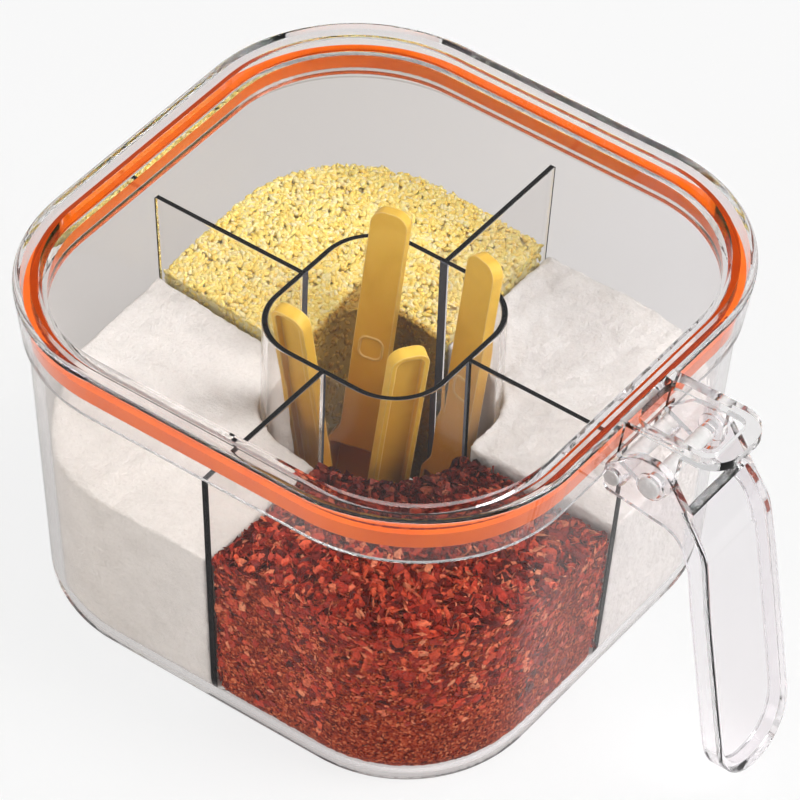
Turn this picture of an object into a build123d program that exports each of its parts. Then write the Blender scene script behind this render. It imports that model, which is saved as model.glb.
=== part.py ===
from build123d import *
from math import atan2, cos, pi, radians, sin, tan
import os

# Seasoning box: a clear drafted tub with a drop-in cross of dividers around a
# spoon cup, a clear hinged lid with a soft seal, and a clear handle.
# Millimetres. Origin: centre of the flat base. +X runs to the handle, +Z is up.

# Tub
base_half = 77.75
base_corner = 41.35
wall_draft = 3.62
wall_thickness = 3.0
floor_thickness = 3.0
base_round = 14.0
shoulder_height = 99.0
neck_height = 5.5
neck_setback = 0.8

# Dividers and spoon cup
insert_drop = 9.0
insert_clearance = 0.25
insert_edge = 0.4
divider_thickness = 1.8
cup_half = 29.4
cup_corner = 17.5
cup_wall = 1.8
cup_floor = 2.0

# Seal
seal_height = 5.8
seal_gap = 0.3
seal_round = 0.6

# Lid
skirt_draft = 7.6
skirt_gap = 0.8
skirt_clearance = 0.5
skirt_wall = 2.0
lid_head = 6.4
lid_skin = 2.2
lid_edge_round = 1.6
panel_recess = 3.6
panel_thickness = 2.2
panel_margin = 0.9
bevel_draft = 16.0
plug_clearance = 0.85
plug_wall = 2.2
plug_lip = 0.5
collar_width = 2.5
notch_height = 3.8
notch_depth = 8.0
notch_clearance = 0.6

# Hinge pin and handle pin, placed from the tub's wall and shoulder
hinge_reach = 15.5
hinge_rise = 3.2
fixing_reach = 3.0
fixing_drop = 1.2
pin_radius = 2.5
pin_head_rim = 0.8
pin_head_height = 0.9
pin_proud = 0.5
pin_edge = 0.4
running_fit = 0.05

# Ears on the tub
bracket_half = 12.6
ear_thickness = 3.2
ear_wall = 1.2
ear_drop = 5.2
ear_sink = 1.0

# Thumb loop and lid lugs
loop_reach = 31.5
loop_thickness = 3.0
loop_bar = 5.4
loop_arm = 3.2
loop_corner = 9.0
loop_opening_corner = 4.0
loop_opening_gap = 0.6
loop_sink = 1.5
lug_thickness = 2.4
lug_wall = 2.5
lug_reach = 6.5
lug_back_angle = 22.0
lug_front_angle = 8.0

# Handle
handle_wall = 2.4
web_thickness = 2.6
cheek_gap = 0.4
handle_gap = 0.5
cheek_drop = 5.4
cheek_rise = 4.0
crown_gap = 3.8
crown_back = 4.9
crown_front = 3.9
bend_reach = 19.3
bend_drop = 15.8
bend_radius = 16.0
inner_bend_reach = 9.5
inner_bend_drop = 13.4
inner_bend_radius = 9.0
cheek_foot_round = 2.0
cheek_top_round = 3.0
crown_round = 6.5
grip_back_radius = 12.0
grip_back_step = 5.2
grip_back_drop = 8.4
grip_lean = 13.6
grip_depth = 6.8
grip_flare = 1.2
flare_start = 10.2
flare_end = 34.2
flare_round = 30.0
grip_flat = 3.0
cut_off_round = 1.0
handle_bottom = 3.8
handle_edge_round = 0.7
swing_gap = 0.4
boss_wall = 1.8
boss_height = 0.7

# Spoons
spoon_head_room = 2.5
spoon_rest_gap = 0.2
spoon_handle_width = 11.0
spoon_handle_thickness = 3.8
spoon_rim = 1.5
spoon_recess = 2.2
spoon_end_round = 4.2
shoulder_rise = 4.5
shoulder_drop = 1.5
shoulder_round = 5.0
bowl_width = 18.5
bowl_length = 25.0
bowl_depth = 9.0
bowl_wall = 1.5
bowl_corner = 3.0
bowl_draft = 5.0
mark_size = 7.4
mark_corner = 2.5
mark_line = 0.5
mark_raise = 0.35
mark_height = 58.0

# Gaps from the cup's walls to each spoon's bowl at its foot and to its handle at the rim
back_left_foot_side = 3.85
back_left_foot_back = 13.5
back_left_rim_side = 6.6
back_left_rim_back = 2.8
back_left_turn = 15.0
back_right_foot_side = 5.85
back_right_foot_back = 8.1
back_right_rim_side = 6.7
back_right_rim_back = 2.2
back_right_turn = -14.0
front_left_foot_side = 1.35
front_left_foot_front = 18.2
front_left_rim_side = 7.5
front_left_rim_front = 2.9
front_left_turn = 180.0
front_right_foot_side = 14.15
front_right_foot_front = 9.75
front_right_rim_side = 3.7
front_right_rim_front = 5.8
front_right_turn = 235.0

# Fills: how far each surface lies under the dividers' top edge beside the cup, at the
# walls across X and Y and in the outer corner, and how far its middle crowns above that
fill_clearance = 0.3
heap_points = 7
salt_cup_drop = 37.5
salt_x_drop = 27.0
salt_y_drop = 33.0
salt_corner_drop = 34.5
salt_crown = 2.0
granule_cup_drop = 34.5
granule_x_drop = 28.0
granule_y_drop = 29.5
granule_corner_drop = 28.0
granule_crown = 4.0
powder_cup_drop = 32.5
powder_x_drop = 33.5
powder_y_drop = 32.0
powder_corner_drop = 31.5
powder_crown = 1.0
chili_cup_drop = 35.5
chili_x_drop = 36.5
chili_y_drop = 31.0
chili_corner_drop = 34.5
chili_crown = 6.0

# Worked out: tub
wall_slope = tan(radians(wall_draft))
rim_height = shoulder_height + neck_height
shoulder_half = base_half + wall_slope * shoulder_height
neck_half = shoulder_half - neck_setback
corner_inset = base_half - base_corner
inner_half = base_half + wall_slope * floor_thickness - wall_thickness
inner_round = base_round - wall_thickness
rim_inner_half = inner_half + wall_slope * (rim_height - floor_thickness)

# Worked out: dividers and cup
insert_top = rim_height - insert_drop
insert_height = insert_top - floor_thickness
divider_half = divider_thickness / 2
cup_inner = cup_half - cup_wall
cup_seat = floor_thickness + cup_floor

# Worked out: seal and lid
skirt_slope = tan(radians(skirt_draft))
skirt_bottom = shoulder_height + skirt_gap
skirt_inner_bottom = neck_half + skirt_clearance
skirt_outer_bottom = skirt_inner_bottom + skirt_wall
seal_bottom = rim_height + seal_gap
seal_top = seal_bottom + seal_height
lid_top = seal_top + lid_head
lid_half = skirt_outer_bottom + skirt_slope * (lid_top - skirt_bottom)
panel_top = lid_top - panel_recess
panel_under = panel_top - panel_thickness
plug_bottom = seal_bottom - plug_lip
plug_half = rim_inner_half - plug_clearance
collar_half = plug_half + collar_width
panel_half = plug_half - panel_margin
notch_top = skirt_bottom + notch_height

# Worked out: hinge, loop and handle
hinge_x = shoulder_half + hinge_reach
hinge_z = shoulder_height + hinge_rise
fixing_x = shoulder_half + fixing_reach
fixing_z = shoulder_height - fixing_drop
pin_hole = pin_radius + running_fit
lug_round = pin_radius + lug_wall
loop_end = lid_half + loop_reach
loop_bottom = lid_top - loop_thickness
cheek_inner = bracket_half + cheek_gap
cheek_half = cheek_inner + handle_wall
grip_half = cheek_half + grip_flare
notch_half = cheek_half + pin_proud + notch_clearance


def rounded_square(half):
    """Square outline whose corners stay concentric with the tub's as it grows."""
    return RectangleRounded(2 * half, 2 * half, half - corner_inset)


def skirt_middle(height):
    """Half width of the middle of the skirt's wall at a height."""
    return skirt_outer_bottom + skirt_slope * (height - skirt_bottom) - skirt_wall / 2


def tub_space(clearance, top):
    """Solid that fills the inside of the tub, held off its walls."""
    start = floor_thickness + clearance
    with BuildPart() as space:
        with BuildSketch(Plane.XY.offset(start)):
            rounded_square(inner_half - clearance + wall_slope * clearance)
        extrude(amount=top - start, taper=-wall_draft)
        fillet(space.edges().group_by(Axis.Z)[0], inner_round - clearance)
    return space.part


os.makedirs("parts", exist_ok=True)


# Tub: outer shell, neck that enters the lid, and two ears for the handle pin
with BuildPart() as box_body:
    with BuildSketch(Plane.XY):
        rounded_square(base_half)
    extrude(amount=shoulder_height, taper=-wall_draft)
    fillet(box_body.edges().group_by(Axis.Z)[0], base_round)
    with BuildSketch(Plane.XY.offset(shoulder_height)):
        rounded_square(neck_half)
    extrude(amount=neck_height)
    ear_root = neck_half - ear_sink
    ear_round = pin_radius + ear_wall
    for side in (-1, 1):
        with BuildSketch(Plane.XZ.offset(-side * (bracket_half - ear_thickness / 2))):
            with Locations((fixing_x, fixing_z)):
                Circle(ear_round)
            with BuildLine():
                Polyline(
                    (ear_root, fixing_z - ear_drop),
                    (fixing_x, fixing_z - ear_round),
                    (fixing_x, fixing_z + ear_round),
                    (ear_root, fixing_z + ear_round),
                    close=True,
                )
            make_face()
        extrude(amount=ear_thickness / 2, both=True)
    with BuildSketch(Plane.XZ):
        with Locations((fixing_x, fixing_z)):
            Circle(pin_hole)
    extrude(amount=cheek_half, both=True, mode=Mode.SUBTRACT)
    add(tub_space(0, rim_height), mode=Mode.SUBTRACT)
box_body.part.label = "box_body"
export_step(box_body.part, "parts/box_body.step")


# Divider cross with the spoon cup in its middle, one drop-in piece
with BuildPart() as compartment_insert:
    with BuildSketch(Plane.XY.offset(floor_thickness)):
        Rectangle(2 * lid_half, divider_thickness)
        Rectangle(divider_thickness, 2 * lid_half)
    extrude(amount=insert_height)
    add(tub_space(insert_clearance, insert_top), mode=Mode.INTERSECT)
    with BuildSketch(Plane.XY.offset(floor_thickness)):
        RectangleRounded(2 * cup_half, 2 * cup_half, cup_corner)
    extrude(amount=insert_height)
    with BuildSketch(Plane.XY.offset(cup_seat)):
        RectangleRounded(2 * cup_inner, 2 * cup_inner, cup_corner - cup_wall)
    extrude(amount=insert_height, mode=Mode.SUBTRACT)
    fillet(compartment_insert.edges().group_by(Axis.Z)[-1], insert_edge)
compartment_insert.part.label = "compartment_insert"
export_step(compartment_insert.part, "parts/compartment_insert.step")


# Lid: sloping skirt, hollow rim, recessed panel, plug wall, thumb loop and lugs
with BuildPart() as lid:
    with BuildSketch(Plane.XY.offset(skirt_bottom)):
        rounded_square(skirt_outer_bottom)
    extrude(amount=lid_top - skirt_bottom, taper=-skirt_draft)
    fillet(lid.edges().group_by(Axis.Z)[-1], lid_edge_round)
    with BuildSketch(Plane.XY.offset(skirt_bottom)):
        rounded_square(skirt_inner_bottom)
    extrude(amount=lid_top - lid_skin - skirt_bottom, taper=-skirt_draft, mode=Mode.SUBTRACT)
    with BuildSketch(Plane.XY.offset(plug_bottom)):
        rounded_square(plug_half)
    extrude(amount=seal_top - plug_bottom)
    with BuildSketch(Plane.XY.offset(seal_top)):
        rounded_square(collar_half)
    extrude(amount=lid_top - lid_skin - seal_top)
    with BuildSketch(Plane.XY.offset(plug_bottom)):
        rounded_square(plug_half - plug_wall)
    extrude(amount=panel_under - plug_bottom, mode=Mode.SUBTRACT)
    with BuildSketch(Plane.XY.offset(panel_top)):
        rounded_square(panel_half)
    extrude(amount=panel_recess, taper=-bevel_draft, mode=Mode.SUBTRACT)
    with BuildSketch(Plane.XY.offset(skirt_bottom)):
        with Locations((skirt_outer_bottom, 0)):
            Rectangle(notch_depth, 2 * notch_half)
    extrude(amount=notch_height, mode=Mode.SUBTRACT)
    with BuildSketch(Plane.XY.offset(loop_bottom)) as loop_outline:
        loop_root = lid_half - loop_sink
        with Locations(((loop_root + loop_end) / 2, 0)):
            Rectangle(loop_end - loop_root, 2 * bracket_half)
        fillet(loop_outline.vertices().group_by(Axis.X)[-1], loop_corner)
        opening_start = lid_half + loop_opening_gap
        opening_end = loop_end - loop_bar
        with Locations(((opening_start + opening_end) / 2, 0)):
            RectangleRounded(
                opening_end - opening_start,
                2 * (bracket_half - loop_arm),
                loop_opening_corner,
                mode=Mode.SUBTRACT,
            )
    extrude(amount=loop_thickness)
    lug_foot = notch_top + swing_gap
    lug_head = loop_bottom + loop_thickness / 2
    lug_back = radians(lug_back_angle)
    lug_front = radians(lug_front_angle)
    for side in (-1, 1):
        with BuildSketch(Plane.XZ.offset(-side * (bracket_half - lug_thickness / 2))):
            with Locations((hinge_x, hinge_z)):
                Circle(lug_round)
            with BuildLine():
                Polyline(
                    (skirt_middle(lug_foot), lug_foot),
                    (hinge_x - lug_round * sin(lug_back), hinge_z - lug_round * cos(lug_back)),
                    (hinge_x + lug_round * cos(lug_front), hinge_z + lug_round * sin(lug_front)),
                    (hinge_x + lug_reach, lug_head),
                    (skirt_middle(lug_head), lug_head),
                    close=True,
                )
            make_face()
        extrude(amount=lug_thickness / 2, both=True)
    with BuildSketch(Plane.XZ):
        with Locations((hinge_x, hinge_z)):
            Circle(pin_hole)
    extrude(amount=cheek_half, both=True, mode=Mode.SUBTRACT)
lid.part.label = "lid"
export_step(lid.part, "parts/lid.step")


# Soft seal ring in the lid's channel
with BuildPart() as seal_ring:
    with BuildSketch(Plane.XY.offset(seal_bottom)):
        rounded_square(skirt_middle(seal_bottom) - skirt_wall / 2 - seal_gap)
    extrude(amount=seal_height, taper=-skirt_draft)
    with BuildSketch(Plane.XY.offset(seal_bottom)):
        rounded_square(plug_half + seal_gap)
    extrude(amount=seal_height, mode=Mode.SUBTRACT)
    fillet(seal_ring.edges().group_by(Axis.Z)[0], seal_round)
seal_ring.part.label = "seal_ring"
export_step(seal_ring.part, "parts/seal_ring.step")


def straight_on(point, towards, length):
    """Point length further on the line from towards to point."""
    angle = atan2(point[1] - towards[1], point[0] - towards[0])
    return (point[0] + length * cos(angle), point[1] + length * sin(angle))


# Side profile of the handle, from the cheeks' foot by the tub round to the inner bend.
# Its grip runs on below the rounded end that the front outline gives it.
cheek_foot_z = fixing_z - cheek_drop
cheek_top_z = fixing_z + cheek_rise
crown_z = loop_bottom - crown_gap
cheek_foot = (base_half + wall_slope * cheek_foot_z + handle_gap, cheek_foot_z)
cheek_top = (base_half + wall_slope * cheek_top_z + handle_gap, cheek_top_z)
slope_top = (hinge_x + crown_front, crown_z)
slope_bend = (hinge_x + bend_reach, hinge_z - bend_drop)
grip_tip = (slope_bend[0] + grip_lean, handle_bottom)
grip_back_bend = (slope_bend[0] - grip_back_step, slope_bend[1] - grip_back_drop)
grip_back_tip = (grip_tip[0] - grip_depth, handle_bottom)
side_profile = [
    (cheek_foot, cheek_foot_round),
    (cheek_top, cheek_top_round),
    ((hinge_x - crown_back, crown_z), crown_round),
    (slope_top, crown_round),
    (slope_bend, bend_radius),
    (straight_on(grip_tip, slope_bend, grip_depth), cut_off_round),
    (straight_on(grip_back_tip, grip_back_bend, grip_depth), cut_off_round),
    (grip_back_bend, grip_back_radius),
    ((hinge_x + inner_bend_reach, hinge_z - inner_bend_drop), inner_bend_radius),
]


def inset_point(before, corner, after, depth):
    """Corner of a path moved to its right by depth on both of its runs."""
    first = atan2(corner[1] - before[1], corner[0] - before[0])
    second = atan2(after[1] - corner[1], after[0] - corner[0])
    middle = (first + second) / 2
    reach = depth / cos((second - first) / 2)
    return (corner[0] + reach * sin(middle), corner[1] - reach * cos(middle))


def grip_outline(inset):
    """Front outline of the handle with its round lower end."""
    at_cheek = cheek_half - inset
    at_grip = grip_half - inset
    top = lid_top + grip_half
    flare_top = hinge_z - flare_start
    flare_bottom = hinge_z - flare_end
    bottom = handle_bottom + inset
    end_round = at_grip - grip_flat / 2
    corners = [
        (at_cheek, top, cut_off_round),
        (at_cheek, flare_top, flare_round),
        (at_grip, flare_bottom, flare_round),
        (at_grip, bottom, end_round),
        (-at_grip, bottom, end_round),
        (-at_grip, flare_bottom, flare_round),
        (-at_cheek, flare_top, flare_round),
        (-at_cheek, top, cut_off_round),
    ]
    with BuildSketch(Plane.YZ) as front:
        with BuildLine():
            FilletPolyline(
                *[(across, height) for across, height, turn in corners],
                radius=[turn for across, height, turn in corners],
                close=True,
            )
        make_face()
    return front.sketch


# Hollow of the handle, open towards the tub
with BuildPart() as channel:
    above = straight_on(slope_top, slope_bend, grip_half)
    below = straight_on(grip_tip, slope_bend, grip_half)
    channel_top = inset_point(above, slope_top, slope_bend, web_thickness)
    channel_bend = inset_point(slope_top, slope_bend, grip_tip, web_thickness)
    channel_tip = inset_point(slope_bend, grip_tip, below, web_thickness)
    with BuildSketch(Plane.XZ) as channel_side:
        with BuildLine():
            Polyline(
                straight_on(channel_top, channel_bend, grip_half),
                channel_bend,
                straight_on(channel_tip, channel_bend, grip_half),
                (base_half, -grip_half),
                (base_half, lid_top + grip_half),
                close=True,
            )
        make_face()
        fillet(channel_side.vertices().sort_by_distance(channel_bend)[0], bend_radius - web_thickness)
    extrude(amount=grip_half, both=True)
    extrude(grip_outline(handle_wall), amount=grip_tip[0], mode=Mode.INTERSECT)


# Handle: two cheeks around the hinge, running down into a channel-shaped grip
with BuildPart() as handle:
    with BuildSketch(Plane.XZ):
        with BuildLine():
            FilletPolyline(
                *[point for point, turn in side_profile],
                radius=[turn for point, turn in side_profile],
                close=True,
            )
        make_face()
    extrude(amount=grip_half, both=True)
    extrude(grip_outline(0), amount=grip_tip[0], mode=Mode.INTERSECT)
    fillet(handle.edges(), handle_edge_round)
    add(channel.part, mode=Mode.SUBTRACT)
    slot_bottom = hinge_z - lug_round - swing_gap
    with BuildSketch(Plane.XY.offset(slot_bottom)):
        with Locations(((base_half + slope_bend[0]) / 2, 0)):
            Rectangle(slope_bend[0] - base_half, 2 * cheek_inner)
    extrude(amount=lid_top - slot_bottom, mode=Mode.SUBTRACT)
    for side in (-1, 1):
        with BuildSketch(Plane.XZ.offset(-side * cheek_half)):
            with Locations((hinge_x, hinge_z)):
                Circle(pin_radius + boss_wall)
        extrude(amount=-side * boss_height)
    with BuildSketch(Plane.XZ):
        with Locations((hinge_x, hinge_z), (fixing_x, fixing_z)):
            Circle(pin_hole)
    extrude(amount=grip_half + boss_height, both=True, mode=Mode.SUBTRACT)
handle.part.label = "handle"
export_step(handle.part, "parts/handle.step")


def pin(x, z, half_length, head_radius, head_height):
    """Pin across the cheeks with a head or a plain proud end on its near side."""
    with BuildPart() as shaft:
        with BuildSketch(Plane.XZ.offset(-half_length)):
            with Locations((x, z)):
                Circle(pin_radius)
        extrude(amount=2 * half_length)
        with BuildSketch(Plane.XZ.offset(half_length)):
            with Locations((x, z)):
                Circle(head_radius)
        extrude(amount=head_height)
        fillet(shaft.edges().group_by(Axis.Y)[0], pin_edge)
        chamfer(shaft.edges().group_by(Axis.Y)[-1], pin_edge)
    return shaft.part


# Pin that holds the handle to the tub
with BuildPart() as handle_pin:
    add(pin(fixing_x, fixing_z, cheek_half, pin_radius, pin_proud))
handle_pin.part.label = "handle_pin"
export_step(handle_pin.part, "parts/handle_pin.step")


# Hinge pin that the lid turns on
with BuildPart() as hinge_pin:
    add(pin(hinge_x, hinge_z, cheek_half + boss_height, pin_radius + pin_head_rim, pin_head_height))
hinge_pin.part.label = "hinge_pin"
export_step(hinge_pin.part, "parts/hinge_pin.step")


# One upright spoon: front face on the plane y = 0, foot at z = 0
spoon_length = panel_under - cup_seat - spoon_rest_gap - spoon_head_room
handle_side = spoon_handle_width / 2
bowl_side = bowl_width / 2
spoon_outline = [
    (handle_side, spoon_length, spoon_end_round),
    (handle_side, bowl_length + shoulder_rise, shoulder_round),
    (bowl_side, bowl_length - shoulder_drop, bowl_corner),
    (bowl_side, 0, bowl_corner),
    (-bowl_side, 0, bowl_corner),
    (-bowl_side, bowl_length - shoulder_drop, bowl_corner),
    (-handle_side, bowl_length + shoulder_rise, shoulder_round),
    (-handle_side, spoon_length, spoon_end_round),
]

with BuildPart() as spoon_blank:
    with BuildSketch(Plane.XZ):
        with BuildLine():
            FilletPolyline(
                *[(across, height) for across, height, turn in spoon_outline],
                radius=[turn for across, height, turn in spoon_outline],
                close=True,
            )
        make_face()
    extrude(amount=-spoon_handle_thickness)
    with BuildSketch(Plane.XZ):
        with Locations((0, bowl_length / 2)):
            RectangleRounded(bowl_width, bowl_length, bowl_corner)
    extrude(amount=-bowl_depth, taper=bowl_draft)
    with BuildSketch(Plane.XZ):
        with Locations((0, bowl_length / 2)):
            RectangleRounded(
                bowl_width - 2 * bowl_wall,
                bowl_length - 2 * bowl_wall,
                bowl_corner - bowl_wall,
            )
    extrude(amount=-(bowl_depth - bowl_wall), taper=bowl_draft, mode=Mode.SUBTRACT)
    recess_start = bowl_length + spoon_rim
    recess_end = spoon_length - spoon_rim
    with BuildSketch(Plane.XZ.offset(-spoon_handle_thickness)):
        with Locations((0, (recess_start + recess_end) / 2)):
            RectangleRounded(
                spoon_handle_width - 2 * spoon_rim,
                recess_end - recess_start,
                spoon_end_round - spoon_rim,
            )
    extrude(amount=spoon_recess, mode=Mode.SUBTRACT)
    with BuildSketch(Plane.XZ):
        with Locations((0, mark_height)):
            RectangleRounded(mark_size, mark_size, mark_corner)
            RectangleRounded(
                mark_size - 2 * mark_line,
                mark_size - 2 * mark_line,
                mark_corner - mark_line,
                mode=Mode.SUBTRACT,
            )
    extrude(amount=mark_raise)


def placed_spoon(foot, rim, turn):
    """Spoon standing at foot and leaned to pass rim at the cup's top edge."""
    lean = Plane(
        origin=(0, 0, 0),
        x_dir=(cos(radians(turn)), sin(radians(turn)), 0),
        z_dir=(rim[0] - foot[0], rim[1] - foot[1], insert_top - cup_seat),
    )
    leaned = spoon_blank.part.moved(lean.location)
    lowest = leaned.bounding_box().min.Z
    return leaned.moved(Location((foot[0], foot[1], cup_seat + spoon_rest_gap - lowest)))


# Each spoon's foot, the point it passes at the rim, and its turn
foot_edge = cup_inner - bowl_side
foot_back = cup_inner - bowl_depth
rim_edge = cup_inner - handle_side
rim_back = cup_inner - spoon_handle_thickness
spoon_places = {
    "spoon_back_left": (
        (back_left_foot_side - foot_edge, foot_back - back_left_foot_back),
        (back_left_rim_side - rim_edge, rim_back - back_left_rim_back),
        back_left_turn,
    ),
    "spoon_back_right": (
        (foot_edge - back_right_foot_side, foot_back - back_right_foot_back),
        (rim_edge - back_right_rim_side, rim_back - back_right_rim_back),
        back_right_turn,
    ),
    "spoon_front_left": (
        (front_left_foot_side - foot_edge, front_left_foot_front - foot_back),
        (front_left_rim_side - rim_edge, front_left_rim_front - rim_back),
        front_left_turn,
    ),
    "spoon_front_right": (
        (foot_edge - front_right_foot_side, front_right_foot_front - foot_edge),
        (rim_edge - front_right_rim_side, front_right_rim_front - rim_edge),
        front_right_turn,
    ),
}
for spoon_name, (foot, rim, turn) in spoon_places.items():
    with BuildPart() as spoon:
        add(placed_spoon(foot, rim, turn))
    spoon.part.label = spoon_name
    export_step(spoon.part, f"parts/{spoon_name}.step")


def heap_surface(side_x, side_y, drops, crown):
    """Top of one heap: a smooth face that reaches past its compartment's walls."""
    cup_drop, x_drop, y_drop, corner_drop = drops
    rows = []
    for i in range(heap_points):
        along_x = i / (heap_points - 1)
        row = []
        for j in range(heap_points):
            along_y = j / (heap_points - 1)
            inner = cup_drop + (x_drop - cup_drop) * along_x
            outer = y_drop + (corner_drop - y_drop) * along_x
            drop = inner + (outer - inner) * along_y
            rise = crown * sin(pi * along_x) * sin(pi * along_y)
            row.append((side_x * lid_half * along_x, side_y * lid_half * along_y, insert_top - drop + rise))
        rows.append(row)
    return Face.make_surface_from_array_of_points(rows)


def fill_solid(side_x, side_y, drops, crown):
    """One compartment's contents."""
    near = divider_half + fill_clearance
    centre = (near + lid_half) / 2
    with BuildPart() as heap:
        add(tub_space(fill_clearance, insert_top))
        with BuildSketch(Plane.XY):
            with Locations((side_x * centre, side_y * centre)):
                Rectangle(lid_half - near, lid_half - near)
        extrude(amount=lid_top, mode=Mode.INTERSECT)
        cup_space = cup_half + fill_clearance
        with BuildSketch(Plane.XY):
            RectangleRounded(2 * cup_space, 2 * cup_space, cup_corner + fill_clearance)
        extrude(amount=lid_top, mode=Mode.SUBTRACT)
        surface = heap_surface(side_x, side_y, drops, crown)
        extrude(surface, amount=lid_top, dir=(0, 0, -1), mode=Mode.INTERSECT)
    return heap.part


# Each heap: its quarter, its surface's drops and its crown
fill_shapes = {
    "salt_fill": (-1, -1, (salt_cup_drop, salt_x_drop, salt_y_drop, salt_corner_drop), salt_crown),
    "granule_fill": (
        -1, 1, (granule_cup_drop, granule_x_drop, granule_y_drop, granule_corner_drop), granule_crown,
    ),
    "powder_fill": (1, 1, (powder_cup_drop, powder_x_drop, powder_y_drop, powder_corner_drop), powder_crown),
    "chili_fill": (1, -1, (chili_cup_drop, chili_x_drop, chili_y_drop, chili_corner_drop), chili_crown),
}
for fill_name, shape in fill_shapes.items():
    with BuildPart() as fill:
        add(fill_solid(*shape))
    fill.part.label = fill_name
    export_step(fill.part, f"parts/{fill_name}.step")
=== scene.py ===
import math

import bmesh
import bpy
import numpy as np
from mathutils import Matrix, Vector, noise
from mathutils.bvhtree import BVHTree


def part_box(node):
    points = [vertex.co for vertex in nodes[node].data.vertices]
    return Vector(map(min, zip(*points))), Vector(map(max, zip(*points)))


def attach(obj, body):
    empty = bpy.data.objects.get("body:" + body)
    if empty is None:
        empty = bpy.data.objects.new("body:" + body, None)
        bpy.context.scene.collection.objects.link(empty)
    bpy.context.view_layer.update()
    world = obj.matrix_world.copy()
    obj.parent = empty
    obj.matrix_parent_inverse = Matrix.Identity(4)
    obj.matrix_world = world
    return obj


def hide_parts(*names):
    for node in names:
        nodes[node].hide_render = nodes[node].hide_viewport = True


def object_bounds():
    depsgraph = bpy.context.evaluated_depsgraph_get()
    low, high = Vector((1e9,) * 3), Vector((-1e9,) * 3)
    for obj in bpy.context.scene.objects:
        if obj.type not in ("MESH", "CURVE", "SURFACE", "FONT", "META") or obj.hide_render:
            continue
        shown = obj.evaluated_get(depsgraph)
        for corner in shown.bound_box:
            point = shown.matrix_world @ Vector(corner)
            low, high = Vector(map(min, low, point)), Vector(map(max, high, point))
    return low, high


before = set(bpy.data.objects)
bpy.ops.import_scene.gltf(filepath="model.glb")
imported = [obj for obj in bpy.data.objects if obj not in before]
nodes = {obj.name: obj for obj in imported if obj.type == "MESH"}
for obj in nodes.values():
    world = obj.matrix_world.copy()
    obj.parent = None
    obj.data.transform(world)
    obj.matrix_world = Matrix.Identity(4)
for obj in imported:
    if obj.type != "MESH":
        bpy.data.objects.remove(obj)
cad_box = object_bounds()
scene = bpy.context.scene

MM = 0.001

# Camera: the photograph's place, turn and lens, in the frame's metres
CAMERA_PLACE = (0.656196, -0.933479, 1.143718)
CAMERA_AZIMUTH = math.radians(34.85)
CAMERA_ELEVATION = math.radians(43.41)
CAMERA_ROLL = math.radians(2.32)
CAMERA_LENS = 252.0
SENSOR_WIDTH = 36.0
NEAREST_SEEN = 0.05
FARTHEST_SEEN = 20.0

# Where the plastic's tint starts, away from the handle, and where it ends near the handle; this tint is
# painted shade, and the lit handle side stays clear
TINT_START = cad_box[0].x
TINT_END = 90 * MM

# How far each clear piece bends light
TUB_BEND = 1.13
INSERT_BEND = 1.16
LID_BEND = 1.3
HANDLE_BEND = 1.42

# Gloss of the clear plastic, and the share of the lid and handle that has no reflections
CLEAR_GLOSS = 0.15
QUIET = 0.05

# Width and sharpness of the deeper tint at a clear piece's silhouette, partly the longer path through the
# plastic and partly painted shade for its dark edge lines
SILHOUETTE_BLEND = 0.5
SILHOUETTE_POWER = 2.5

# Bounces that light needs to find its way out of a thin clear rim
RIM_BOUNCES = 32

# How white the surround shows in reflections and through clear plastic
WHITE_IN_GLOSS = 0.15
WHITE_SEEN_THROUGH = 0.7

# Brightness of the surround as a light, and the floor's size, level, grey and share of plain white
STUDIO_LIGHT = 0.38
FLOOR_HALF = 4.0
FLOOR_LEVEL = -0.2 * MM
FLOOR_GREY = 0.86
FLOOR_WHITE = 0.8

# Point that the lamps are aimed at
LAMP_TARGET = (0, 0, 0.05)

# Top edges of the dividers and the cup, and the reach of their outer ends, which carry painted shade as
# dark lines
INSERT_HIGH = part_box("compartment_insert")[1]
EDGE_BAND = 0.5 * MM
EDGE_FADE = 0.6
END_BAND = 0.45 * MM
FAR_LINE = 0.35 * MM
WALL_SLOPE = math.tan(math.radians(3.62))

# Painted shade along the seams where the dividers meet the cup's wall
CUP_HALF = 29.4 * MM
CUP_INNER = 27.6 * MM
SEAM_HALF = 0.8 * MM
SEAM_BAND = 0.3 * MM
FRONT_STRIP_HALF = 0.75 * MM
BACK_STRIP_HALF = 1.3 * MM

# Where the chili's painted shade beside the cup ends, and the band over which the pale grains' painted
# shade by the cup fades out
CUP_SHADE_END = 52.0 * MM
GRAIN_SHADE_START = CUP_HALF + 1.2 * MM
GRAIN_SHADE_END = CUP_HALF + 2.6 * MM

# Upward part of a normal under which a face counts as upright, and over which chili lies on it
UPRIGHT = 0.6
CHILI_TOP = 0.45

# How far inside the upright faces grains stay, and how far off a face is looked for
TUCK_MARGIN = 0.04 * MM
TUCK_REACH = 4 * MM

# Half sizes of a pale grain and half thickness of a chili flake, in millimetres
GRAIN_HALF = np.array([1.4, 0.68, 0.66])
FLAKE_HALF_THICKNESS = 0.32

# Depth over which grains and flakes are scattered
GRAIN_SINK = 0.5 * MM
FLAKE_SINK = 0.7 * MM

# Power that makes small flakes commoner than large ones
SMALL_FLAKES = 1.8

# Shares of the chili's height where big flakes start and over which they become dense
FLAKES_FROM = 0.4
FLAKES_FADE = 0.24


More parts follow.
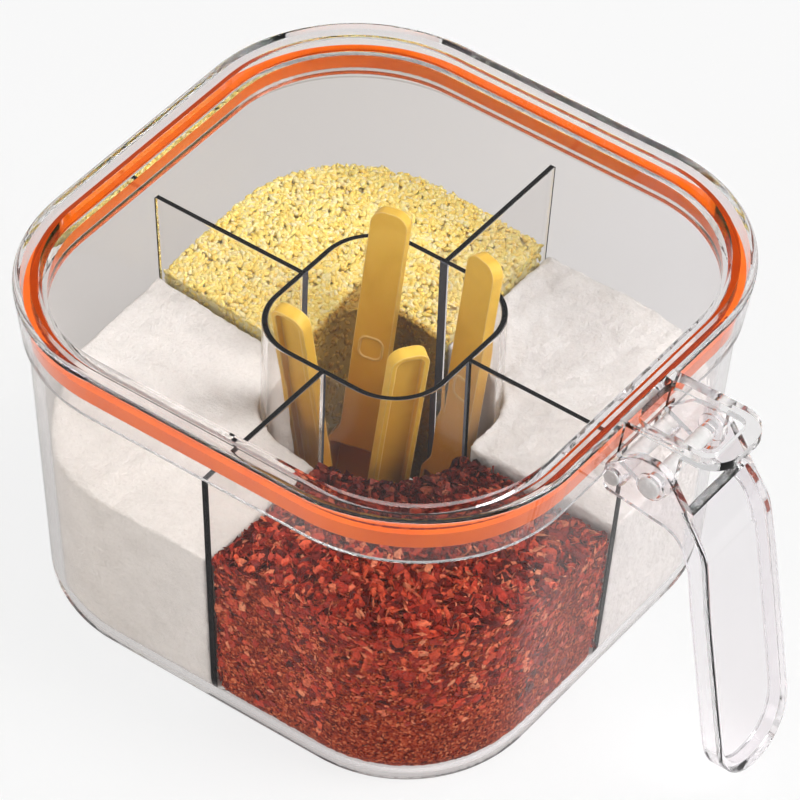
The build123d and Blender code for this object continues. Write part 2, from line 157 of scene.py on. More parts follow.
def add_camera():
    """Camera at the photograph's viewing angle."""
    azimuth, elevation, roll = CAMERA_AZIMUTH, CAMERA_ELEVATION, CAMERA_ROLL
    back = Vector((
        math.sin(azimuth) * math.cos(elevation),
        -math.cos(azimuth) * math.cos(elevation),
        math.sin(elevation),
    ))
    across = Vector((0, 0, 1)).cross(back).normalized()
    up = back.cross(across)
    rolled_across = math.cos(roll) * across + math.sin(roll) * up
    rolled_up = math.cos(roll) * up - math.sin(roll) * across
    data = bpy.data.cameras.new("camera")
    data.lens = CAMERA_LENS
    data.sensor_width = SENSOR_WIDTH
    data.clip_start = NEAREST_SEEN
    data.clip_end = FARTHEST_SEEN
    camera = bpy.data.objects.new("camera", data)
    turn = Matrix((rolled_across, rolled_up, back)).transposed()
    camera.matrix_world = Matrix.Translation(CAMERA_PLACE) @ turn.to_4x4()
    scene.collection.objects.link(camera)
    scene.camera = camera


class Shading:
    """A material with one Principled shader and short calls for the nodes that feed it."""

    def __init__(self, name, **sockets):
        self.material = bpy.data.materials.new(name)
        self.material.use_nodes = True
        self.tree = self.material.node_tree
        self.shader = self.tree.nodes["Principled BSDF"]
        self.output = self.tree.nodes["Material Output"]
        self.surface = self.shader.outputs[0]
        for key, value in sockets.items():
            self.shader.inputs[key.replace("_", " ")].default_value = value
        self.place = self.node("ShaderNodeTexCoord").outputs["Object"]

    def node(self, kind, **settings):
        made = self.tree.nodes.new(kind)
        for key, value in settings.items():
            setattr(made, key, value)
        return made

    def link(self, source, target):
        self.tree.links.new(source, target)

    def feed(self, target, value):
        """Connects value to an input, or writes it there when it is a number or a colour."""
        if isinstance(value, bpy.types.NodeSocket):
            self.link(value, target)
        else:
            target.default_value = value

    def noise(self, size, detail=3.0, roughness=0.55, distortion=0.0):
        """Noise whose features are about size metres wide."""
        made = self.node("ShaderNodeTexNoise")
        made.inputs["Scale"].default_value = 1 / size
        made.inputs["Detail"].default_value = detail
        made.inputs["Roughness"].default_value = roughness
        made.inputs["Distortion"].default_value = distortion
        self.link(self.place, made.inputs["Vector"])
        return made.outputs["Fac"]

    def cells(self, size, output="Distance"):
        """Voronoi cells about size metres wide."""
        made = self.node("ShaderNodeTexVoronoi")
        made.inputs["Scale"].default_value = 1 / size
        self.link(self.place, made.inputs["Vector"])
        return made.outputs[output]

    def ramp(self, value, *stops):
        """Colour ramp through (position, colour) stops."""
        made = self.node("ShaderNodeValToRGB")
        points = made.color_ramp.elements
        while len(points) < len(stops):
            points.new(0.5)
        for point, (position, colour) in zip(points, stops):
            point.position = position
            point.color = (*colour, 1.0)
        self.link(value, made.inputs["Fac"])
        return made.outputs["Color"]

    def stretch(self, value, low, high, to_low=0.0, to_high=1.0):
        """Value mapped from low..high to to_low..to_high and held inside them."""
        made = self.node("ShaderNodeMapRange", clamp=True)
        for key, number in (("From Min", low), ("From Max", high), ("To Min", to_low), ("To Max", to_high)):
            made.inputs[key].default_value = number
        self.link(value, made.inputs["Value"])
        return made.outputs["Result"]

    def math(self, operation, a, b=0.0):
        made = self.node("ShaderNodeMath", operation=operation)
        self.feed(made.inputs[0], a)
        self.feed(made.inputs[1], b)
        return made.outputs[0]

    def mix(self, factor, a, b, blend="MIX"):
        """Mix of two colours."""
        made = self.node("ShaderNodeMix", data_type="RGBA", blend_type=blend)
        self.feed(made.inputs["Factor"], factor)
        for socket, value in ((made.inputs[6], a), (made.inputs[7], b)):
            colour = value if isinstance(value, bpy.types.NodeSocket) else (*value, 1.0)
            self.feed(socket, colour)
        return made.outputs[2]

    def bump(self, height, depth, normal=None):
        """Bump of depth metres for a height between 0 and 1."""
        made = self.node("ShaderNodeBump")
        made.inputs["Distance"].default_value = depth
        self.link(height, made.inputs["Height"])
        if normal is not None:
            self.link(normal, made.inputs["Normal"])
        self.link(made.outputs["Normal"], self.shader.inputs["Normal"])
        return made.outputs["Normal"]

    def axis(self, source, name):
        """One component of a vector."""
        made = self.node("ShaderNodeSeparateXYZ")
        self.link(source, made.inputs[0])
        return made.outputs[name]

    def from_middle(self):
        """Larger and smaller of the distances from the box's middle along X and along Y."""
        along_x = self.math("ABSOLUTE", self.axis(self.place, "X"))
        along_y = self.math("ABSOLUTE", self.axis(self.place, "Y"))
        return self.math("MAXIMUM", along_x, along_y), self.math("MINIMUM", along_x, along_y)

    def paint(self, colour):
        self.feed(self.shader.inputs["Base Color"], colour)

    def roughen(self, value, low, high, smooth, rough):
        """Roughness from smooth to rough as value goes from low to high."""
        self.feed(self.shader.inputs["Roughness"], self.stretch(value, low, high, smooth, rough))

    def quieten(self, share, bend):
        """Clear material whose reflections are weaker by share."""
        base = self.shader.inputs["Base Color"].links[0].from_socket
        half_tint = self.node("ShaderNodeGamma")
        self.link(base, half_tint.inputs["Color"])
        half_tint.inputs["Gamma"].default_value = 0.5
        bent = self.node("ShaderNodeBsdfRefraction")
        bent.inputs["IOR"].default_value = bend
        bent.inputs["Roughness"].default_value = 0.0
        self.link(half_tint.outputs["Color"], bent.inputs["Color"])
        both = self.node("ShaderNodeMixShader")
        both.inputs[0].default_value = share
        self.link(self.surface, both.inputs[1])
        self.link(bent.outputs[0], both.inputs[2])
        self.surface = both.outputs[0]

    def let_lamps_through(self, tint, solid=None):
        """Clear material that passes lamp light straight on, tinted, except where solid is 1."""
        clear = self.node("ShaderNodeBsdfTransparent")
        clear.inputs["Color"].default_value = (*tint, 1.0)
        shadow = self.node("ShaderNodeLightPath").outputs["Is Shadow Ray"]
        factor = shadow
        if solid is not None:
            factor = self.math("MULTIPLY", shadow, self.math("SUBTRACT", 1.0, solid))
        both = self.node("ShaderNodeMixShader")
        self.link(factor, both.inputs[0])
        self.link(self.surface, both.inputs[1])
        self.link(clear.outputs[0], both.inputs[2])
        self.link(both.outputs[0], self.output.inputs["Surface"])


def clear_plastic(name, bend, tint, painted_shade_tint, edge_tint, waviness=0.03 * MM):
    """Clear moulded plastic whose tint is a little deeper away from the handle, as painted shade, and at
    its silhouettes, partly from the longer path through the plastic and partly as painted shade for dark
    edge lines.
    """
    look = Shading(name, IOR=bend, Transmission_Weight=1.0, Specular_IOR_Level=CLEAR_GLOSS)
    # Painted shade: where the two tints differ, the tint darkens away from the lit handle side
    shade_share = look.stretch(look.axis(look.place, "X"), TINT_START, TINT_END)
    body = look.mix(shade_share, painted_shade_tint, tint)
    # Silhouette tint: partly the longer path through the plastic, partly painted shade that draws dark edge
    # lines
    facing = look.node("ShaderNodeLayerWeight")
    facing.inputs["Blend"].default_value = SILHOUETTE_BLEND
    rim = look.math("POWER", facing.outputs["Facing"], SILHOUETTE_POWER)
    look.paint(look.mix(rim, body, edge_tint))
    smear = look.noise(14 * MM, detail=2.0)
    look.roughen(smear, 0.35, 0.75, smooth=0.0, rough=0.012)
    look.bump(look.noise(22 * MM, detail=1.0), waviness)
    return look


def insert_plastic():
    """Clear plastic with painted shade: near-black top edges, outer ends and seams where the dividers meet
    the cup, laid out differently on the front and back sides.
    """
    clear = (0.96, 0.95, 0.94)
    silhouette = (0.8, 0.78, 0.77)
    black = (0.004, 0.004, 0.005)
    slate = (0.08, 0.085, 0.105)
    lamp_tint = (0.95, 0.945, 0.94)
    look = clear_plastic("clear_insert", INSERT_BEND, clear, clear, silhouette, waviness=0.015 * MM)
    height = look.axis(look.place, "Z")
    place_x = look.axis(look.place, "X")
    place_y = look.axis(look.place, "Y")
    reach, aside = look.from_middle()
    to_front = look.math("MAXIMUM", place_x, look.math("MULTIPLY", place_y, -1.0))
    to_back = look.math("MAXIMUM", look.math("MULTIPLY", place_x, -1.0), place_y)
    at_back = look.math("GREATER_THAN", to_back, to_front)

    top = look.stretch(height, INSERT_HIGH.z - EDGE_BAND, INSERT_HIGH.z - EDGE_FADE * EDGE_BAND)
    normal = look.node("ShaderNodeNewGeometry").outputs["Normal"]
    upward = look.stretch(look.axis(normal, "Z"), 0.6, 0.85)
    top_edge = look.math("MULTIPLY", top, upward)

    drop = look.math("MULTIPLY", look.math("SUBTRACT", INSERT_HIGH.z, height), WALL_SLOPE)
    from_wall = look.math("SUBTRACT", INSERT_HIGH.x - END_BAND, drop)
    front_end = look.math("GREATER_THAN", to_front, from_wall)
    back_end = look.math("GREATER_THAN", to_back, from_wall)
    one_side = look.math("GREATER_THAN", to_front, FAR_LINE)
    outer_end = look.math("MAXIMUM", front_end, look.math("MULTIPLY", back_end, one_side))

    from_cup = look.math("ABSOLUTE", look.math("SUBTRACT", reach, CUP_HALF))
    on_divider = look.math("LESS_THAN", aside, SEAM_HALF)
    at_cup = look.math("MULTIPLY", on_divider, look.math("LESS_THAN", from_cup, SEAM_BAND))
    seam = look.math("MULTIPLY", at_cup, look.math("SUBTRACT", 1.0, at_back))

    from_inside = look.math("ABSOLUTE", look.math("SUBTRACT", reach, CUP_INNER))
    strip_half = look.stretch(at_back, 0.0, 1.0, FRONT_STRIP_HALF, BACK_STRIP_HALF)
    in_strip = look.math("LESS_THAN", aside, strip_half)
    strip = look.math("MULTIPLY", in_strip, look.math("LESS_THAN", from_inside, SEAM_BAND))

    # Painted shade: the dark lines that clear dividers show at edges and seams, set as near-black colour
    # without transmission
    edges = look.math("MAXIMUM", top_edge, outer_end)
    painted_dark = look.math("MAXIMUM", edges, look.math("MAXIMUM", seam, strip))
    clear_colour = look.shader.inputs["Base Color"].links[0].from_socket
    look.paint(look.mix(painted_dark, clear_colour, look.mix(strip, black, slate)))
    look.feed(look.shader.inputs["Transmission Weight"], look.math("SUBTRACT", 1.0, painted_dark))
    look.let_lamps_through(lamp_tint, painted_dark)
    return look.material


def silicone():
    """Smooth satin orange silicone."""
    look = Shading("orange_silicone", Specular_IOR_Level=0.12)
    tone = look.noise(9 * MM, detail=3.0)
    deep_orange = (0.8, 0.115, 0.0)
    orange = (0.87, 0.145, 0.0)
    look.paint(look.ramp(tone, (0.3, deep_orange), (0.7, orange)))
    look.roughen(tone, 0.3, 0.7, smooth=0.3, rough=0.4)
    look.bump(look.noise(0.5 * MM, detail=2.0), 0.01 * MM)
    return look.material


def spoon_plastic():
    """Satin ochre plastic with faint flow marks, pale edges that are painted highlights, and painted shade
    that makes it darker and more amber towards the bottom.
    """
    ochre = (0.75, 0.45, 0.05)
    light_ochre = (0.84, 0.53, 0.075)
    amber_shade = (0.78, 0.52, 0.22)
    gold_shade = (0.92, 0.82, 0.58)
    painted_edge_highlight = (0.97, 0.78, 0.36)
    look = Shading("ochre_plastic", Specular_IOR_Level=0.25, Subsurface_Weight=0.12)
    look.shader.inputs["Subsurface Radius"].default_value = (1.6 * MM, 0.9 * MM, 0.3 * MM)
    flow = look.noise(12 * MM, detail=3.0, distortion=0.6)
    colour = look.ramp(flow, (0.3, ochre), (0.7, light_ochre))
    # Painted shade: darker and more amber towards the bottom, unchanged at the top
    rise = look.stretch(look.axis(look.place, "Z"), 30 * MM, 98 * MM)
    depth = look.ramp(rise, (0.0, amber_shade), (0.65, gold_shade), (1.0, (1, 1, 1)))
    soft_edge = look.node("ShaderNodeBevel", samples=6)
    soft_edge.inputs["Radius"].default_value = 0.7 * MM
    flat = look.node("ShaderNodeNewGeometry").outputs["Normal"]
    alike = look.node("ShaderNodeVectorMath", operation="DOT_PRODUCT")
    look.link(soft_edge.outputs["Normal"], alike.inputs[0])
    look.link(flat, alike.inputs[1])
    # Painted highlight: pale cream along the edges that the bevel rounds
    edge_highlight_share = look.stretch(alike.outputs["Value"], 0.8, 0.98, to_low=0.6, to_high=0.0)
    with_painted_shade = look.mix(1.0, colour, depth, "MULTIPLY")
    look.paint(look.mix(edge_highlight_share, with_painted_shade, painted_edge_highlight))
    look.roughen(flow, 0.3, 0.7, smooth=0.36, rough=0.48)
    look.bump(look.noise(0.35 * MM, detail=2.0), 0.012 * MM, normal=soft_edge.outputs["Normal"])
    return look.material


def pin_plastic():
    """Pale glossy pin with faint turning marks."""
    look = Shading("pale_pin", Specular_IOR_Level=0.5)
    tone = look.noise(2 * MM, detail=2.0)
    grey = (0.66, 0.65, 0.64)
    pale = (0.8, 0.79, 0.78)
    look.paint(look.ramp(tone, (0.3, grey), (0.7, pale)))
    look.roughen(tone, 0.3, 0.7, smooth=0.18, rough=0.3)
    look.bump(look.noise(0.4 * MM), 0.01 * MM)
    return look.material


def white_grain(name, shade, light, lump, grain, lump_depth, grain_depth):
    """Fine white crystals or powder with soft lumps."""
    look = Shading(name, Specular_IOR_Level=0.3, Roughness=0.85, Subsurface_Weight=0.1)
    look.shader.inputs["Subsurface Radius"].default_value = (1.2 * MM, 1.1 * MM, 1.0 * MM)
    soft = look.noise(lump, detail=4.0)
    fine = look.noise(grain, detail=2.0, roughness=0.8)
    patch = look.ramp(soft, (0.3, shade), (0.62, light))
    speck = look.ramp(fine, (0.3, (0.84, 0.83, 0.82)), (0.55, (1, 1, 1)))
    look.paint(look.mix(0.55, patch, speck, "MULTIPLY"))
    first = look.bump(look.noise(lump / 3, detail=3.0), lump_depth)
    look.bump(fine, grain_depth, normal=first)
    return look.material


def granule_material():
    """Pale yellow grains, each with its own tone, darker on the side that the cup shades."""
    gold = (1.0, 0.72, 0.17)
    yellow = (1.0, 0.82, 0.28)
    cream = (0.97, 0.86, 0.52)
    dull = (0.98, 0.93, 0.74)
    shaded = (0.5, 0.38, 0.16)
    look = Shading("granules", Specular_IOR_Level=0.35, Roughness=0.55, Subsurface_Weight=0.35)
    look.shader.inputs["Subsurface Radius"].default_value = (2.0 * MM, 1.6 * MM, 0.8 * MM)
    own = look.node("ShaderNodeNewGeometry").outputs["Random Per Island"]
    tone = look.ramp(own, (0.0, gold), (0.55, yellow), (1.0, cream))
    speckle = look.ramp(look.noise(0.6 * MM, detail=3.0), (0.3, dull), (0.6, (1, 1, 1)))
    grain = look.mix(0.6, tone, speckle, "MULTIPLY")
    reach, aside = look.from_middle()
    shade = look.stretch(reach, GRAIN_SHADE_START, GRAIN_SHADE_END)
    by_cup = look.ramp(shade, (0.0, shaded), (1.0, (1, 1, 1)))
    look.paint(look.mix(1.0, grain, by_cup, "MULTIPLY"))
    look.bump(look.noise(0.5 * MM, detail=3.0), 0.12 * MM)
    return look.material


def painted_cup_shade(look):
    """Painted shade: grey that darkens the chili towards the cup, as the cup's shadow would."""
    painted_dark = (0.25, 0.2, 0.2)
    half = (0.5, 0.42, 0.42)
    reach, aside = look.from_middle()
    shade = look.stretch(reach, CUP_HALF, CUP_SHADE_END)
    return look.ramp(shade, (0.0, painted_dark), (0.5, half), (1.0, (1, 1, 1)))


def flake_material():
    """Dry chili flakes: dark red skins, brighter flesh and a few near-black ones."""
    look = Shading("chili_flakes", Specular_IOR_Level=0.2, Roughness=0.45)
    own = look.node("ShaderNodeNewGeometry").outputs["Random Per Island"]
    near_black = (0.07, 0.004, 0.002)
    dark_red = (0.28, 0.014, 0.006)
    red = (0.58, 0.045, 0.018)
    bright_red = (0.85, 0.13, 0.05)
    flesh = (0.95, 0.36, 0.18)
    tone = look.ramp(own, (0.0, near_black), (0.25, dark_red), (0.6, red), (0.85, bright_red), (1.0, flesh))
    vein = look.ramp(look.noise(0.9 * MM, detail=4.0), (0.32, (0.4, 0.3, 0.3)), (0.62, (1, 1, 1)))
    dry = look.mix(0.8, tone, vein, "MULTIPLY")
    # Painted shade darkens the flakes towards the cup
    look.paint(look.mix(1.0, dry, painted_cup_shade(look), "MULTIPLY"))
    look.bump(look.noise(0.7 * MM, detail=3.0), 0.2 * MM)
    return look.material


def ground_chili_material():
    """Fine ground chili under the flakes, speckled from orange to dark red."""
    look = Shading("ground_chili", Specular_IOR_Level=0.1, Roughness=0.8)
    crumbs = look.cells(0.65 * MM, output="Color")
    own = look.node("ShaderNodeSeparateColor")
    look.link(crumbs, own.inputs[0])
    near_black = (0.08, 0.006, 0.003)
    dark_red = (0.28, 0.026, 0.01)
    red = (0.52, 0.08, 0.026)
    orange = (0.8, 0.24, 0.1)
    tone = look.ramp(own.outputs[0], (0.0, near_black), (0.4, dark_red), (0.8, red), (1.0, orange))
    drift = look.ramp(look.noise(8 * MM, detail=3.0), (0.3, (0.65, 0.6, 0.6)), (0.7, (1, 1, 1)))
    dry = look.mix(1.0, tone, drift, "MULTIPLY")
    # Painted shade darkens the ground chili towards the cup
    look.paint(look.mix(1.0, dry, painted_cup_shade(look), "MULTIPLY"))
    first = look.bump(look.noise(2.5 * MM, detail=4.0), 0.5 * MM)
    look.bump(look.cells(0.7 * MM), 0.3 * MM, normal=first)
    return look.material


def mesh_arrays(obj):
    """Vertices and triangles of an object's mesh as arrays."""
    mesh = obj.data
    mesh.calc_loop_triangles()
    places = np.empty(len(mesh.vertices) * 3, np.float64)
    mesh.vertices.foreach_get("co", places)
    corners = np.empty(len(mesh.loop_triangles) * 3, np.int64)
    mesh.loop_triangles.foreach_get("vertices", corners)
    return places.reshape(-1, 3), corners.reshape(-1, 3)


def triangle_normals(places, corners):
    """Unit normals and areas of triangles."""
    a, b, c = (places[corners[:, i]] for i in range(3))
    cross = np.cross(b - a, c - a)
    length = np.linalg.norm(cross, axis=1)
    return cross / np.maximum(length, 1e-15)[:, None], length / 2


def new_piece(name, places, corners, material, smooth=True):
    """Mesh piece that rides on the tub."""
    mesh = bpy.data.meshes.new(name)
    mesh.from_pydata(places.tolist(), [], corners.tolist())
    mesh.update()
    mesh.polygons.foreach_set("use_smooth", [smooth] * len(mesh.polygons))
    mesh.materials.append(material)
    piece = bpy.data.objects.new(name, mesh)
    scene.collection.objects.link(piece)
    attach(piece, "tub")


def side_tree(places, corners):
    """Nearest-point tree of a heap's upright faces."""
    normals, areas = triangle_normals(places, corners)
    upright = corners[np.abs(normals[:, 2]) < UPRIGHT]
    return BVHTree.FromPolygons(places.tolist(), upright.tolist())


def tuck_inside(places, tree):
    """Points moved back to just inside the upright faces that they crossed."""
    for i, place in enumerate(places):
        near, normal, face, distance = tree.find_nearest(Vector(place), TUCK_REACH)
        if near is None:
            continue
        depth = (Vector(place) - near).dot(normal)
        if depth > -TUCK_MARGIN:
            places[i] = place - np.array(normal) * (depth + TUCK_MARGIN)
    return places


def scatter(places, corners, count, rng, wanted):
    """Random points on the wanted triangles and the triangles' normals there."""
    normals, areas = triangle_normals(places, corners)
    centres = places[corners].mean(axis=1)
    weight = areas * wanted(centres, normals)
    pick = rng.choice(len(corners), count, p=weight / weight.sum())
    u, v = rng.random((2, count))
    folded = u + v > 1
    u[folded], v[folded] = 1 - u[folded], 1 - v[folded]
    a, b, c = (places[corners[pick, i]] for i in range(3))
    return a + u[:, None] * (b - a) + v[:, None] * (c - a), normals[pick]


def turned_frames(normals, tilt, rng):
    """Random frames whose third axis leans from each normal by up to about tilt radians."""
    count = len(normals)
    lean = normals + rng.normal(0, 1, (count, 3)) * np.tan(tilt)
    third = lean / np.linalg.norm(lean, axis=1)[:, None]
    helper = rng.normal(0, 1, (count, 3))
    first = np.cross(helper, third)
    first /= np.linalg.norm(first, axis=1)[:, None]
    second = np.cross(third, first)
    return np.stack([first, second, third], axis=2)


def stamped(shape, faces, points, frames, scales, jitter, rng):
    """One copy of a small shape at each point, each with its own scale and dents."""
    count, size = len(points), len(shape)
    local = shape[None] * scales[:, None, :]
    local = local * (1 + rng.uniform(-jitter, jitter, (count, size, 1)))
    world = np.einsum("nij,nkj->nki", frames, local) + points[:, None, :]
    offsets = (np.arange(count) * size)[:, None, None]
    return world.reshape(-1, 3), (faces[None] + offsets).reshape(-1, 3)


def grain_shape():
    """Twelve-point pellet, one unit in half length along each axis."""
    made = bmesh.new()
    bmesh.ops.create_icosphere(made, subdivisions=1, radius=1.0)
    places = np.array([v.co[:] for v in made.verts])
    faces = np.array([[v.index for v in f.verts] for f in made.faces])
    made.free()
    return places, faces


def flake_shape(sides=6):
    """Thin bent polygon with a raised middle on both faces."""
    angles = np.arange(sides) * 2 * np.pi / sides
    ring = np.stack([np.cos(angles), np.sin(angles), 0.35 * np.cos(2 * angles)], axis=1)
    middle = np.array([[0, 0, 0.55], [0, 0, -0.35]])
    following = (np.arange(sides) + 1) % sides
    over = np.stack([np.arange(sides), following, np.full(sides, sides)], axis=1)
    under = np.stack([following, np.arange(sides), np.full(sides, sides + 1)], axis=1)
    return np.concatenate([ring, middle]), np.concatenate([over, under])


def heap_core(node, name, material, voxel, inset, lump, lump_height, grit, grit_height):
    """Body of a heap: the CAD heap's shape, finely meshed, drawn in and roughened.

    voxel is the mesh's fineness and inset the depth that it is drawn in; lump and grit are the widths
    of coarse and fine unevenness, each with its height.
    """
    copy = nodes[node].data.copy()
    core = bpy.data.objects.new(name, copy)
    scene.collection.objects.link(core)
    remesh = core.modifiers.new("remesh", "REMESH")
    remesh.mode = "VOXEL"
    remesh.voxel_size = voxel
    shaped = bpy.data.meshes.new_from_object(core.evaluated_get(bpy.context.evaluated_depsgraph_get()))
    core.modifiers.clear()
    core.data = shaped
    count = len(shaped.vertices)
    places = np.empty(count * 3)
    shaped.vertices.foreach_get("co", places)
    places = places.reshape(-1, 3)
    normals = np.array([v.normal[:] for v in shaped.vertices])
    for i in range(count):
        spot = Vector(places[i])
        upward = max(normals[i][2], 0.0)
        big = noise.fractal(spot / lump, 1.0, 2.0, 3) * lump_height * upward
        small = noise.fractal(spot / grit, 0.8, 2.0, 2) * grit_height
        places[i] += normals[i] * (big + min(small, 0.5 * grit_height) - 0.5 * grit_height - inset)
    shaped.vertices.foreach_set("co", places.ravel())
    shaped.update()
    shaped.polygons.foreach_set("use_smooth", [True] * len(shaped.polygons))
    shaped.materials.clear()
    shaped.materials.append(material)
    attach(core, "tub")
    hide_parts(node)


def granules():
    """Heap of short pale yellow grains."""
    rng = np.random.default_rng(11)
    tone = granule_material()
    heap_core(
        "granule_fill", "granule_core", tone, voxel=1.4 * MM, inset=0.45 * MM,
        lump=12 * MM, lump_height=1.2 * MM, grit=2 * MM, grit_height=0.5 * MM,
    )
    places, corners = mesh_arrays(nodes["granule_fill"])
    tree = side_tree(places, corners)
    shape, faces = grain_shape()
    for name, count, tilt, inset, wanted in (
        ("granule_top", 6000, 0.4, -0.45 * MM, lambda centres, normals: normals[:, 2] > UPRIGHT),
        ("granule_sides", 7000, 0.12, 0.66 * MM, lambda centres, normals: np.abs(normals[:, 2]) < UPRIGHT),
    ):
        points, normals = scatter(places, corners, count, rng, wanted)
        points = points - normals * (inset + rng.random((count, 1)) * GRAIN_SINK)
        frames = turned_frames(normals, tilt, rng)
        size = rng.uniform(0.8, 1.2, (count, 1))
        scales = size * GRAIN_HALF * MM
        grown, joined = stamped(shape, faces, points, frames, scales, jitter=0.14, rng=rng)
        new_piece(name, tuck_inside(grown, tree), joined, tone)


def chili():
    """Heap of chili flakes over finer ground chili."""
    rng = np.random.default_rng(23)
    ground = ground_chili_material()
    tone = flake_material()
    heap_core(
        "chili_fill", "chili_core", ground, voxel=1.2 * MM, inset=0.5 * MM,
        lump=10 * MM, lump_height=1.5 * MM, grit=1.6 * MM, grit_height=0.4 * MM,
    )
    places, corners = mesh_arrays(nodes["chili_fill"])
    tree = side_tree(places, corners)
    shape, faces = flake_shape()
    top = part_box("chili_fill")[1].z

    def upper_sides(centres, normals):
        share = np.clip((centres[:, 2] - FLAKES_FROM * top) / (FLAKES_FADE * top), 0.0, 1.0)
        return (np.abs(normals[:, 2]) < UPRIGHT) * share

    for name, count, tilt, inset, smallest, largest, wanted in (
        ("chili_top", 4200, 0.75, -0.5 * MM, 0.7, 2.5, lambda centres, normals: normals[:, 2] > CHILI_TOP),
        ("chili_sides", 6500, 0.16, 0.45 * MM, 0.6, 2.2, upper_sides),
    ):
        points, normals = scatter(places, corners, count, rng, wanted)
        points = points - normals * (inset + rng.random((count, 1)) * FLAKE_SINK)
        frames = turned_frames(normals, tilt, rng)
        size = smallest + (largest - smallest) * rng.random((count, 1)) ** SMALL_FLAKES
        width = rng.uniform(0.5, 0.95, (count, 1))
        thickness = np.full((count, 1), FLAKE_HALF_THICKNESS)
        scales = np.concatenate([size, size * width, thickness], axis=1) * MM
        grown, joined = stamped(shape, faces, points, frames, scales, jitter=0.3, rng=rng)
        new_piece(name, tuck_inside(grown, tree), joined, tone, smooth=False)


def white_heaps():
    """Heaps of salt and of a finer white powder."""
    salt = white_grain(
        "salt", shade=(0.79, 0.765, 0.735), light=(0.86, 0.835, 0.805),
        lump=9 * MM, grain=0.9 * MM, lump_depth=0.5 * MM, grain_depth=0.3 * MM,
    )
    powder = white_grain(
        "powder", shade=(0.8, 0.78, 0.76), light=(0.87, 0.85, 0.83),
        lump=6 * MM, grain=0.8 * MM, lump_depth=0.5 * MM, grain_depth=0.25 * MM,
    )
    heap_core(
        "salt_fill", "salt_heap", salt, voxel=1.0 * MM, inset=0.05 * MM,
        lump=16 * MM, lump_height=0.9 * MM, grit=2.2 * MM, grit_height=0.2 * MM,
    )
    heap_core(
        "powder_fill", "powder_heap", powder, voxel=1.0 * MM, inset=0.05 * MM,
        lump=10 * MM, lump_height=1.0 * MM, grit=1.6 * MM, grit_height=0.3 * MM,
    )


def dress(node, material):
    """Gives a CAD node its material."""
    slots = nodes[node].data.materials
    slots.clear()
    slots.append(material)


def dress_frame():
    """Materials of the pieces that keep their CAD shape."""
    tub = clear_plastic(
        "clear_tub", TUB_BEND,
        tint=(0.93, 0.915, 0.92), painted_shade_tint=(0.77, 0.74, 0.715), edge_tint=(0.8, 0.765, 0.76),
    )
    tub.let_lamps_through(tint=(0.93, 0.915, 0.895))
    lid = clear_plastic(
        "clear_lid", LID_BEND,
        tint=(0.95, 0.94, 0.94), painted_shade_tint=(0.92, 0.905, 0.9), edge_tint=(0.84, 0.79, 0.79),
    )
    lid.quieten(QUIET, LID_BEND)
    lid.let_lamps_through(tint=(0.94, 0.935, 0.93))
    clear = (0.965, 0.945, 0.96)
    handle = clear_plastic(
        "clear_handle", HANDLE_BEND, tint=clear, painted_shade_tint=clear, edge_tint=(0.72, 0.66, 0.68)
    )
    handle.quieten(QUIET, HANDLE_BEND)
    handle.let_lamps_through(tint=(0.95, 0.945, 0.95))
    dress("box_body", tub.material)
    dress("lid", lid.material)
    dress("handle", handle.material)
    dress("compartment_insert", insert_plastic())
    dress("seal_ring", silicone())
    ochre = spoon_plastic()
    for node in nodes:
        if node.startswith("spoon"):
            dress(node, ochre)
    pin = pin_plastic()
    dress("handle_pin", pin)
    dress("hinge_pin", pin)


def smooth_cad():
    """Smooth shading with sharp edges kept on the CAD nodes."""
    for node, obj in nodes.items():
        if obj.data.materials and not obj.hide_render:
            obj.data.polygons.foreach_set("use_smooth", [True] * len(obj.data.polygons))


def whiteness(tree):
    """How white the surround shows: fully when seen directly, less in gloss and through clear plastic."""
    path = tree.nodes.new("ShaderNodeLightPath")
    total = path.outputs["Is Camera Ray"]
    for name, share in (("Is Glossy Ray", WHITE_IN_GLOSS), ("Is Transmission Ray", WHITE_SEEN_THROUGH)):
        part = tree.nodes.new("ShaderNodeMath")
        part.operation = "MULTIPLY"
        part.inputs[1].default_value = share
        tree.links.new(path.outputs[name], part.inputs[0])
        larger = tree.nodes.new("ShaderNodeMath")
        larger.operation = "MAXIMUM"
        tree.links.new(total, larger.inputs[0])
        tree.links.new(part.outputs[0], larger.inputs[1])
        total = larger.outputs[0]
    return total


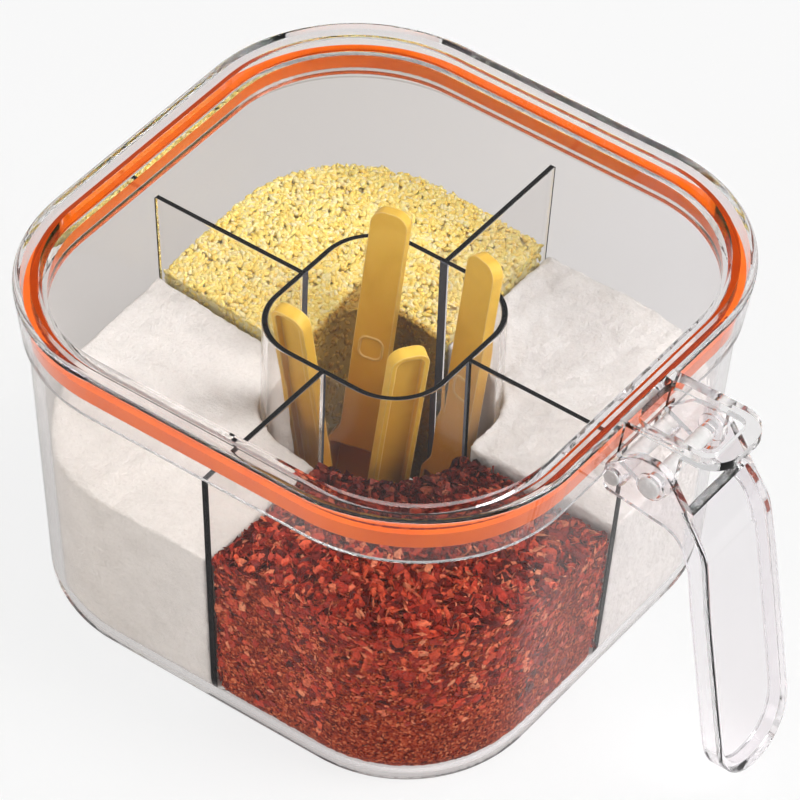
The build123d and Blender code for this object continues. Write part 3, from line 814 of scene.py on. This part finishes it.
def add_floor():
    """Pale floor that reads as white and keeps the object's soft shadow."""
    mesh = bpy.data.meshes.new("floor")
    outline = ((-1, -1), (1, -1), (1, 1), (-1, 1))
    corners = [(x * FLOOR_HALF, y * FLOOR_HALF, FLOOR_LEVEL) for x, y in outline]
    mesh.from_pydata(corners, [], [(0, 1, 2, 3)])
    floor = bpy.data.objects.new("floor", mesh)
    scene.collection.objects.link(floor)
    material = bpy.data.materials.new("floor")
    material.use_nodes = True
    tree = material.node_tree
    shader = tree.nodes["Principled BSDF"]
    shader.inputs["Base Color"].default_value = (FLOOR_GREY, FLOOR_GREY, FLOOR_GREY, 1)
    shader.inputs["Roughness"].default_value = 0.9
    shader.inputs["Specular IOR Level"].default_value = 0.1
    glow = tree.nodes.new("ShaderNodeEmission")
    glow.inputs["Strength"].default_value = 1.0
    share = tree.nodes.new("ShaderNodeMath")
    share.operation = "MULTIPLY"
    share.inputs[1].default_value = FLOOR_WHITE
    tree.links.new(whiteness(tree), share.inputs[0])
    both = tree.nodes.new("ShaderNodeMixShader")
    tree.links.new(share.outputs[0], both.inputs[0])
    tree.links.new(shader.outputs[0], both.inputs[1])
    tree.links.new(glow.outputs[0], both.inputs[2])
    tree.links.new(both.outputs[0], tree.nodes["Material Output"].inputs["Surface"])
    mesh.materials.append(material)


def add_world():
    """Soft grey surround that shows as white behind the object."""
    world = bpy.data.worlds.new("studio")
    scene.world = world
    world.use_nodes = True
    tree = world.node_tree
    dim = tree.nodes["Background"]
    dim.inputs["Color"].default_value = (1, 1, 1, 1)
    dim.inputs["Strength"].default_value = STUDIO_LIGHT
    white = tree.nodes.new("ShaderNodeBackground")
    white.inputs["Strength"].default_value = 1.0
    both = tree.nodes.new("ShaderNodeMixShader")
    tree.links.new(whiteness(tree), both.inputs[0])
    tree.links.new(dim.outputs[0], both.inputs[1])
    tree.links.new(white.outputs[0], both.inputs[2])
    tree.links.new(both.outputs[0], tree.nodes["World Output"].inputs["Surface"])


def add_lamp(name, place, size, power):
    """Square soft lamp aimed at the box."""
    data = bpy.data.lights.new(name, "AREA")
    data.size = size
    data.energy = power
    lamp = bpy.data.objects.new(name, data)
    lamp.location = place
    lamp.rotation_mode = "QUATERNION"
    lamp.rotation_quaternion = (Vector(LAMP_TARGET) - Vector(place)).to_track_quat("-Z", "Y")
    scene.collection.objects.link(lamp)


add_camera()
dress_frame()
smooth_cad()
white_heaps()
granules()
chili()
add_floor()
add_world()
add_lamp("key", place=(1.05, 0.35, 1.25), size=0.7, power=15.8)
add_lamp("fill", place=(-0.5, -1.3, 0.75), size=0.9, power=7.4)
scene.view_settings.view_transform = "Standard"
scene.cycles.max_bounces = RIM_BOUNCES
scene.cycles.glossy_bounces = RIM_BOUNCES
scene.cycles.transmission_bounces = RIM_BOUNCES
scene.cycles.transparent_max_bounces = RIM_BOUNCES
